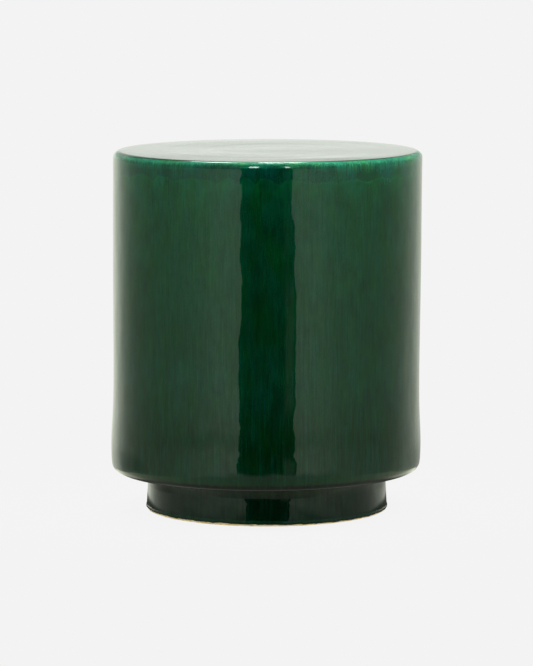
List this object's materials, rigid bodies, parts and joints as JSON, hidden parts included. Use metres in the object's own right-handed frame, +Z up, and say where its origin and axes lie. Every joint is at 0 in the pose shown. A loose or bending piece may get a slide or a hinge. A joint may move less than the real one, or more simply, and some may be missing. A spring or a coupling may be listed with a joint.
{
  "type": "ceramic drum side table",
  "caption": "Low round side table or stool: a closed glazed ceramic drum with a flat top and rounded rim, standing on a narrower foot ring.",
  "frame": {"origin": "on the floor, at the middle of the foot ring's standing edge", "axes": "+Z up along the drum's axis; the drum is round, so +X and +Y are any two level directions"},
  "size_m": [0.3576, 0.3576, 0.417],
  "materials": {
    "bare_clay": "unglazed, matt, fine grain",
    "clay_coil": "unglazed, smoothed by hand",
    "green_glaze": "high gloss, emerald green with vertical flow streaks",
    "green_glaze_top": "high gloss, emerald green, breaking lighter on the rim"
  },
  "bodies": {
    "root": {"top_slab": "bare_clay", "drum_wall": "bare_clay", "base_ring": "bare_clay", "foot_ring": "bare_clay", "top_corner_coil": "clay_coil", "base_corner_coil": "clay_coil", "foot_corner_coil": "clay_coil", "glaze_top_coat": "green_glaze_top", "glaze_side_coat": "green_glaze", "glaze_foot_coat": "green_glaze", "glaze_pool": "green_glaze"}
  },
  "joints": []
}
